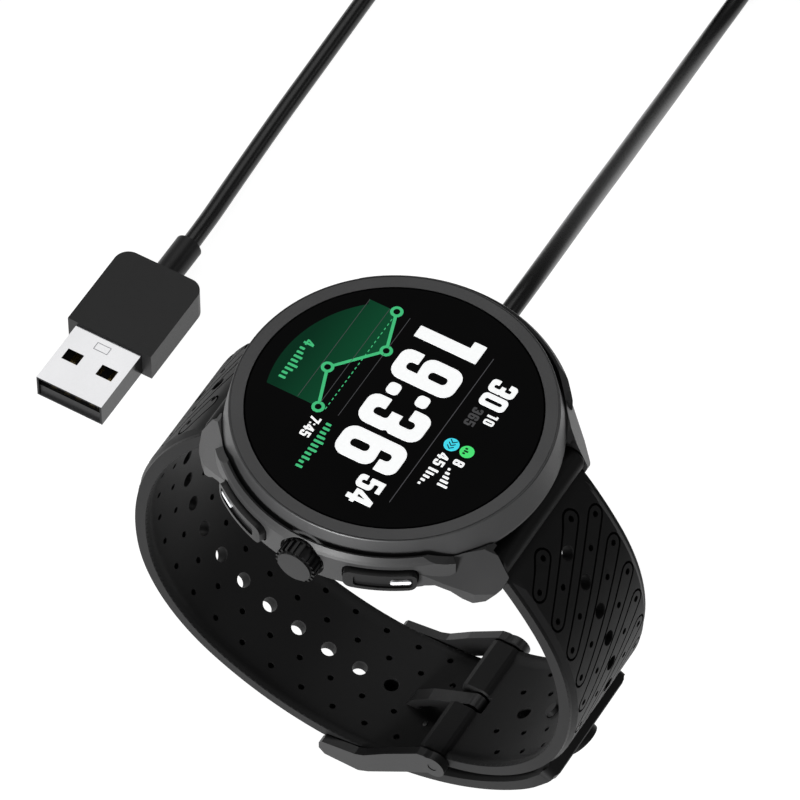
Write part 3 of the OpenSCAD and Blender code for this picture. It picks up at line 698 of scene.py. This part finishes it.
def prism(outline, x_low, x_high, chamfer=0.25):
    """Points and faces of a (y, z) outline extruded along X, with chamfered ends."""
    ring = np.array(outline)
    middle = ring.mean(axis=0)
    spans = [(x_low, 1), (x_low + chamfer, 0), (x_high - chamfer, 0), (x_high, 1)]
    points, n = [], len(ring)
    for x, drawn_in in spans:
        for p in ring:
            d = middle - p
            q = p + d / np.linalg.norm(d) * chamfer * drawn_in
            points.append((x, q[0], q[1]))
    faces = [tuple(range(n - 1, -1, -1)), tuple(3 * n + i for i in range(n))]
    for k in range(3):
        faces += [(k * n + i, k * n + (i + 1) % n, (k + 1) * n + (i + 1) % n, (k + 1) * n + i)
                  for i in range(n)]
    return points, faces


def barrel(y):
    """Rolled end of a strap half round its spring bar."""
    w = STRAP_HALF_W
    profile = [(-w, BARREL_R - 0.35), (-w + 0.1, BARREL_R - 0.12), (-w + 0.35, BARREL_R),
               (w - 0.35, BARREL_R), (w - 0.1, BARREL_R - 0.12), (w, BARREL_R - 0.35)]
    return lathe(profile, (0, y, FACE_Z + BAR_Z), (1, 0, 0), 48)


def side_points(s_from, s_to, x):
    """Points along one edge of a strap half."""
    count = max(1, round(abs(s_to - s_from) / GRID_STEP))
    return [(s_from + (s_to - s_from) * k / count, x) for k in range(count)]


def stud_station(line):
    """Length along a strap line nearest to the keeper's stud."""
    low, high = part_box("keeper_stud")
    stud = (low + high) / 2 / MM
    at, length = line
    best = min(range(int(length * 10)), key=lambda k: (at(k / 10)[0] - stud.y) ** 2
               + (at(k / 10)[1] + FACE_Z - stud.z) ** 2)
    return best / 10


def round_holes(holes):
    """Outlines of (s, x, radius) holes, with more points on the large ones."""
    return [circle(s, x, r, 24 if r == LARGE_R else 14) for s, x, r in holes]


def pin_loop():
    """Outline in (y, z) of the strap's loop round the buckle's pin, drawn out into the strap."""
    y, z = PIVOT
    turned = [math.radians(a) for a in range(-100, 101, 20)]
    neck = [(11.6, z + 1.62), (10.9, z + 1.1), (10.75, z), (10.9, z - 0.9), (11.6, z - 1.25)]
    return [(y + PIN_LOOP_R * math.cos(t), z + PIN_LOOP_R * math.sin(t)) for t in turned] + neck


def add_buckle_half(material, groove_shade_material):
    """Strap half from the 12 o'clock lugs to the buckle, forked round the tang."""
    w = STRAP_HALF_W
    length = BUCKLE_LINE[1]
    stud_s = stud_station(BUCKLE_LINE)
    fork_s = length - FORK_DEPTH
    outline = (side_points(0, length, -w) + [(length, -w), (length, -FORK_HALF)]
               + [(fork_s, -FORK_HALF), (fork_s, FORK_HALF), (length, FORK_HALF), (length, w)]
               + side_points(length, 0, w)[1:] + [(0, w)])
    holes = [h for h in lattice(BUCKLE_FIRST, length - 8)
             if abs(h[0] - stud_s) > STUD_CLEARANCE or h[2] == SMALL_R]
    loops = round_holes(holes) + [circle(stud_s, 0, 1.4, 24)]
    blind = [h for h in holes if h[2] == SMALL_R]
    *sheet, dark = strap_sheet(BUCKLE_LINE, -1, outline, loops, pills(BUCKLE_FIRST, 52), True, blind)
    ends = [prism(pin_loop(), FORK_HALF, w), prism(pin_loop(), -w, -FORK_HALF)]
    piece = mesh_object("strap_buckle_side", *merged([sheet, barrel(BAR_Y)] + ends), material, "watch",
                        STRAP_SMOOTH, dark, groove_shade_material)
    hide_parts("strap_buckle_half")


def add_tail_half(material, groove_shade_material):
    """Strap half from the 6 o'clock lugs to the free tip, with the tang through one of its holes."""
    w = STRAP_HALF_W
    length = TAIL_LINE[1]
    stud_s = stud_station(TAIL_LINE)
    tip_s = length - TIP_LENGTH
    tip = rounded([(tip_s, -w, 0), (length, -w, TIP_R), (length, w, TIP_R), (tip_s, w, 0)])
    outline = side_points(0, tip_s, -w) + tip + side_points(tip_s, 0, w)[1:] + [(0, w)]
    holes = [h for h in lattice(TAIL_FIRST, length - 6, TAIL_MIDDLE)
             if (abs(h[0] - stud_s) > STUD_CLEARANCE and abs(h[0] - TANG_S) > TANG_CLEARANCE)
             or h[2] == SMALL_R]
    tang_slot = capsule((TANG_S - 0.15, 0), (TANG_S + 0.05, 0), TANG_SLOT_R, 8, 0.5)
    loops = round_holes(holes) + [circle(stud_s, 0, 1.2, 24), tang_slot]
    blind = [h for h in holes if h[2] == SMALL_R]
    *sheet, dark = strap_sheet(TAIL_LINE, 1, outline, loops, pills(TAIL_FIRST, 60), False, blind,
                               (TANG_S, TANG_LEAN))
    piece = mesh_object("strap_tail_side", *merged([sheet, barrel(-BAR_Y)]), material, "watch",
                        STRAP_SMOOTH, dark, groove_shade_material)
    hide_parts("strap_tail_half")


# ---- Display ----

ART_TOP = 0.02
ART_LAYER = 0.006
ART_SINK = 0.02
GLYPH_H = 1.84
BIG, MID, FINE = 0.34, 0.11, 0.03
HOLE_LOW = [(0.37, 0.33, MID), (0.63, 0.33, MID), (0.63, 0.86, MID), (0.37, 0.86, MID)]
HOLE_HIGH = [(0.37, 0.98, MID), (0.63, 0.98, MID), (0.63, 1.51, MID), (0.37, 1.51, MID)]
HOOK = [(0, 0.58, FINE), (0, 0, BIG), (1, 0, BIG)]
HOOK_INSIDE = [(0.63, 0.33, MID), (0.37, 0.33, MID), (0.37, 0.58, FINE)]
NINE = [HOOK + [(1, GLYPH_H, BIG), (0, GLYPH_H, BIG), (0, 0.66, 0.3), (0.63, 0.7, 0)] + HOOK_INSIDE,
        HOLE_HIGH]
GLYPHS = {
    "0": [[(0, 0, BIG), (1, 0, BIG), (1, GLYPH_H, BIG), (0, GLYPH_H, BIG)],
          [(0.37, 0.33, MID), (0.63, 0.33, MID), (0.63, 1.51, MID), (0.37, 1.51, MID)]],
    "1": [[(0.24, 0, FINE), (0.63, 0, FINE), (0.63, GLYPH_H, FINE), (0, GLYPH_H, FINE),
           (0, 1.47, FINE), (0.24, 1.47, 0)]],
    "3": [HOOK + [(1, 0.84, 0.12), (0.93, 0.93, 0.05), (1, 1.02, 0.12), (1, GLYPH_H, BIG),
                  (0, GLYPH_H, BIG), (0, 1.26, FINE), (0.37, 1.26, FINE), (0.37, 1.51, MID),
                  (0.63, 1.51, MID), (0.63, 1.09, 0.1), (0.34, 1.09, 0), (0.34, 0.77, 0),
                  (0.63, 0.77, 0.1)] + HOOK_INSIDE],
    "4": [[(0.52, 0, FINE), (0.88, 0, FINE), (0.88, 0.36, 0), (1.05, 0.36, FINE), (1.05, 0.68, FINE),
           (0.88, 0.68, 0), (0.88, GLYPH_H, FINE), (0.5, GLYPH_H, FINE), (0, 0.72, FINE),
           (0, 0.36, FINE), (0.52, 0.36, 0)],
          [(0.32, 0.68, 0), (0.54, 0.68, 0), (0.54, 1.26, 0)]],
    "5": [HOOK + [(1, 1.2, 0.3), (0.37, 1.2, 0.05), (0.37, 1.5, 0), (0.94, 1.5, FINE),
                  (0.94, GLYPH_H, FINE), (0.03, GLYPH_H, FINE), (0.03, 0.82, FINE),
                  (0.35, 0.82, FINE), (0.4, 0.9, 0.05), (0.63, 0.9, 0.1)] + HOOK_INSIDE],
    "6": [[(1 - x, GLYPH_H - y, r) for x, y, r in loop] for loop in NINE],
    "7": [[(0.12, 0, FINE), (0.5, 0, FINE), (1, 1.44, 0), (1, GLYPH_H, FINE), (0, GLYPH_H, FINE),
           (0, 1.5, FINE), (0.62, 1.5, 0)]],
    "8": [[(0, 0, BIG), (1, 0, BIG), (1, 0.84, 0.12), (0.93, 0.93, 0.05), (1, 1.02, 0.12),
           (1, GLYPH_H, BIG), (0, GLYPH_H, BIG), (0, 1.02, 0.12), (0.07, 0.93, 0.05),
           (0, 0.84, 0.12)], HOLE_LOW[:2] + [(0.63, 0.78, MID), (0.37, 0.78, MID)],
          [(0.37, 1.08, MID), (0.63, 1.08, MID)] + HOLE_HIGH[2:]],
    "9": NINE,
}


def art(loops, layer):
    """A flat lit shape on the dial, in dial millimetres; higher layers lie on lower ones."""
    top = FACE_Z + ART_TOP + layer * ART_LAYER
    return plate(loops, FACE_Z - ART_SINK, top)


def digit(char, x, y, width, height, layer=3):
    """One numeral, from its lower left corner."""
    scale = (width, height / GLYPH_H)
    loops = [[(x + px * scale[0], y + py * scale[1]) for px, py in rounded(loop, 5)]
             for loop in GLYPHS[char]]
    return art(loops, layer)


def bar(x0, y0, x1, y1, radius=0.2, layer=3):
    """A rounded rectangle."""
    return art([rounded([(x0, y0, radius), (x1, y0, radius), (x1, y1, radius), (x0, y1, radius)], 4)],
               layer)


def stroke(a, b, width, layer=2):
    """A line with round ends."""
    return art([capsule(a, b, width / 2, 6, 100)], layer)


CHART = [(-14.9, -8.4), (-8, -6.1), (-1.2, -11.9), (5.6, -9.4)]
CHART_LIMIT = 18.9
TREND_Y = -8.3
TIME_Y, TIME_H = -4.1, 10.3
DATE_Y, DATE_H = 9.8, 4.2
SECONDS_Y, SECONDS_H = 2.0, 4.1
TEXT_H = 1.65
COUNTER_H = 1.7


def add_display(mats):
    """Time, date, counters and training chart as thin lit shapes on the glass."""
    white = [digit("1", -15.9, TIME_Y, 5.55, TIME_H), digit("9", -10.2, TIME_Y, 5.6, TIME_H),
             bar(-3.75, 2.1, -1.6, 4.1, 0.7), bar(-3.75, -2.7, -1.6, -0.7, 0.7),
             digit("3", -0.9, TIME_Y, 5.5, TIME_H), digit("6", 5.6, TIME_Y, 5.6, TIME_H),
             digit("5", 12.5, SECONDS_Y, 2.35, SECONDS_H), digit("4", 15.15, SECONDS_Y, 2.35, SECONDS_H),
             digit("3", -11.7, DATE_Y, 2.4, DATE_H), digit("0", -9.0, DATE_Y, 2.4, DATE_H)]
    white += [digit("1", -5.8, 12.3, 0.95, TEXT_H), digit("0", -4.8, 12.3, 0.95, TEXT_H)]
    white += [digit("8", 3.6, 12.2, 1.0, COUNTER_H), digit("4", 3.6, 9.7, 1.05, COUNTER_H),
              digit("5", 4.95, 9.7, 1.0, COUNTER_H)]
    white += [bar(5.5 + k * 0.75, 12.2, 5.9 + k * 0.75, 12.6 + 0.3 * k, 0.1) for k in range(5)]
    white += [bar(6.7 + k * 0.75, 9.7, 7.1 + k * 0.75, 11.3 - 0.3 * k, 0.1) for k in range(5)]
    white += [digit("7", 7.3, -9.4, 0.95, TEXT_H), bar(8.45, -9.1, 8.75, -8.8, 0.1),
              bar(8.45, -8.4, 8.75, -8.1, 0.1), digit("4", 8.95, -9.4, 1.0, TEXT_H),
              digit("5", 10.15, -9.4, 0.95, TEXT_H)]
    grey = [digit("3", -5.8, 9.9, 0.95, TEXT_H), digit("6", -4.6, 9.9, 0.95, TEXT_H),
            digit("5", -3.4, 9.9, 0.95, TEXT_H)]
    lines = [bar(-14.6, 7.95, 15.0, 8.05, 0.04), bar(-14.9, -6.15, 5.5, -6.08, 0.03),
             bar(-14.9, -9.55, 5.5, -9.48, 0.03), bar(-14.9, -12.95, 5.5, -12.88, 0.03)]
    green = [stroke(a, b, 0.48) for a, b in zip(CHART, CHART[1:])]
    green += [art([circle(x, y, 0.98, 28), circle(x, y, 0.5, 28)], 3) for x, y in CHART]
    green += [bar(7.4 + k * 0.84, -6.9, 7.82 + k * 0.84, -6.5 + 1.15 * level, 0.12)
              for k, level in enumerate((0.4, 0.6, 0.5, 0.8, 1, 0.7, 0.9, 0.55, 0.75, 0.35, 0.6))]
    green += [bar(-13.4 + k * 0.92, TREND_Y - 0.07, -12.95 + k * 0.92, TREND_Y + 0.07, 0.05)
              for k in range(21)]
    green += [digit("4", -4.1, -17.2, 1.0, TEXT_H)]
    green += [bar(-2.5 + k * 0.84, -17.2, -2.08 + k * 0.84, -16.7 + 1.1 * level, 0.12)
              for k, level in enumerate((0.3, 0.5, 0.8, 0.6, 1, 0.75, 0.4, 0.55))]
    dark = [art([circle(x, y, 0.5, 24)], 4) for x, y in CHART]

    low = [(x, -math.sqrt(CHART_LIMIT ** 2 - x * x)) for x in np.linspace(5.6, -14.9, 24)]
    low[-1] = (-14.9, -13.0)
    area = art([CHART + [(5.6, low[0][1])] + low[1:]], 0)

    groups = [("screen_area", [area], "screen_field"), ("screen_rules", lines, "screen_line"),
              ("screen_numerals", white, "screen_white"), ("screen_month", grey, "screen_grey"),
              ("screen_chart", green, "screen_green"), ("screen_marker_hearts", dark, "cover_glass"),
              ("screen_badge_green", [art([circle(1.75, 13.05, 1.08, 32)], 2)], "screen_lime"),
              ("screen_badge_cyan", [art([circle(1.75, 10.5, 1.15, 32)], 2)], "screen_cyan")]
    chevrons = []
    for k in range(3):
        x = 0.95 + k * 0.55
        point = (x + 0.45, 10.5)
        chevrons += [stroke((x, 11.0), point, 0.16, 3), stroke(point, (x, 10.0), 0.16, 3)]
    marks = [bar(1.15 + k * 0.45, 12.55, 1.45 + k * 0.45, 12.95 + 0.3 * (k % 2), 0.08) for k in range(3)]
    groups.append(("screen_badge_marks", chevrons + marks, "cover_glass"))
    for name, parts, material in groups:
        piece = mesh_object(name, *merged(parts), mats[material], "watch")


# ---- Pusher lights ----

PUSHER_ANGLE = 26
LIGHT_REACH = 27.06
LIGHT_ENDS = (1.9, 4.15)
LIGHT_HALF_W = 0.38
LIGHT_DEPTH = 0.35


def add_pusher_lights(material):
    """Light bar at the end of each pusher away from the crown."""
    for body, sign in (("upper_pusher", 1), ("lower_pusher", -1)):
        low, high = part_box(body + "_cap")
        z = (low.z + high.z) / 2 / MM
        angle = math.radians(sign * PUSHER_ANGLE)
        axis = Vector((math.cos(angle), math.sin(angle), 0))
        tangent = Vector((-math.sin(angle), math.cos(angle), 0)) * sign
        near, far = LIGHT_ENDS
        flat, faces = plate([capsule((near, 0), (far, 0), LIGHT_HALF_W, 8, 0.4)], -LIGHT_DEPTH, 0)
        points = []
        for u, v, depth in flat:
            reach = math.sqrt(LIGHT_REACH ** 2 - u * u) + depth
            points.append(tuple(axis * reach + tangent * u + Vector((0, 0, z + v))))
        piece = mesh_object(body + "_light", points, faces, material, body)


# ---- Studio ----

FLOOR_MIDDLE = (-50, -29)
FLOOR_SIZE_M = 6
# Painted pool of light on the floor: its glow fades from the first level to the second between these
# distances in millimetres from FLOOR_MIDDLE.
PAINTED_POOL_EDGE = (92, 165)
PAINTED_POOL_GLOW = (0.95, 0.12)
SURROUND_GLOW = 0.14
AIM_M = (0, 0, 0.05)
# Name, place and size in metres, and watts.
LAMPS = [
    ("overhead", (-0.53, -0.3, 0.86), 0.7, 1.9), ("front", (0.86, -0.02, 0.14), 0.24, 12.5),
    ("side", (-0.2, -0.85, 0.35), 0.35, 1.3), ("back", (-0.56, 0.66, 0.62), 0.3, 0.4),
]


def add_studio():
    """Floor with a painted pool of light round the watch (an emission that fades outwards), soft boxes and a
    dim surround.
    """
    bpy.ops.mesh.primitive_plane_add(size=FLOOR_SIZE_M, location=(0, 0, 0))
    floor = bpy.context.object
    floor.name = "floor"
    mat, tree, shader = new_material("floor")
    coords = tree.nodes.new("ShaderNodeTexCoord")
    spread = tree.nodes.new("ShaderNodeVectorMath")
    spread.operation = "DISTANCE"
    spread.inputs[1].default_value = (*(Vector(FLOOR_MIDDLE) * MM), 0)
    tree.links.new(coords.outputs["Object"], spread.inputs[0])
    fade = tree.nodes.new("ShaderNodeMapRange")
    fade.interpolation_type = "SMOOTHSTEP"
    for key, edge, level in zip(("Min", "Max"), PAINTED_POOL_EDGE, PAINTED_POOL_GLOW):
        fade.inputs["From " + key].default_value = edge * MM
        fade.inputs["To " + key].default_value = level
    tree.links.new(spread.outputs["Value"], fade.inputs["Value"])
    # Painted light: the floor glows, brightest in a pool round the watch.
    tree.links.new(fade.outputs["Result"], shader.inputs["Emission Strength"])
    shader.inputs["Base Color"].default_value = (0.25, 0.25, 0.25, 1)
    shader.inputs["Roughness"].default_value = 0.9
    shader.inputs["Specular IOR Level"].default_value = 0.0
    shader.inputs["Emission Color"].default_value = (1, 1, 1, 1)
    floor.data.materials.append(mat)

    world = bpy.data.worlds.new("studio")
    world.use_nodes = True
    background = world.node_tree.nodes["Background"]
    background.inputs["Color"].default_value = (1, 1, 1, 1)
    background.inputs["Strength"].default_value = SURROUND_GLOW
    bpy.context.scene.world = world
    for name, place, size, power in LAMPS:
        data = bpy.data.lights.new(name, "AREA")
        data.size = size
        data.energy = power
        lamp = bpy.data.objects.new(name, data)
        bpy.context.scene.collection.objects.link(lamp)
        lamp.location = place
        aim = Vector(AIM_M) - Vector(place)
        lamp.rotation_euler = aim.to_track_quat("-Z", "Y").to_euler()
    bpy.context.scene.view_settings.view_transform = "Standard"


# ---- Carried-over CAD nodes ----

NODE_SMOOTH = 28
BEVEL_FROM = 40
ROUNDED_NODES = {
    "upper_pusher_cap": 0.2, "lower_pusher_cap": 0.2, "buckle_frame": 0.3, "buckle_tang": 0.2,
    "usb_overmold": 0.25, "usb_shell": 0.12, "crown_knob": 0.1, "crown_cap": 0.15, "mid_case": 0.2,
    "charger_base": 0.3, "charger_relief": 0.2,
}


def round_edges(node, width):
    """Small rounds along a node's sharp edges."""
    bevel = node.modifiers.new("rounded", "BEVEL")
    bevel.width = width * MM
    bevel.segments = 3
    bevel.limit_method = "ANGLE"
    bevel.angle_limit = math.radians(BEVEL_FROM)
    bevel.harden_normals = True


def dress_nodes(mats):
    """Gives each CAD node the material of its slot, smooth between its sharp edges."""
    for entry in frame["record"]["subparts"]:
        node = nodes[entry["node"]]
        if not node.material_slots:
            node.data.materials.append(mats[entry["material_slot"]])
        for place in node.material_slots:
            place.material = mats[entry["material_slot"]]
        node.data.polygons.foreach_set("use_smooth", [True] * len(node.data.polygons))
        node.data.set_sharp_from_angle(angle=math.radians(NODE_SMOOTH))
        if entry["node"] in ROUNDED_NODES:
            round_edges(node, ROUNDED_NODES[entry["node"]])


add_camera()
MATS = make_materials()
add_cable(MATS["cable_jacket"], add_shell_mark(MATS["chassis_alloy"]))
dress_nodes(MATS)
add_buckle_half(MATS["strap_silicone"], MATS["strap_groove_shade"])
add_tail_half(MATS["strap_silicone"], MATS["strap_groove_shade"])
add_display(MATS)
add_pusher_lights(MATS["button_light"])
add_studio()

bpy.context.view_layer.update()
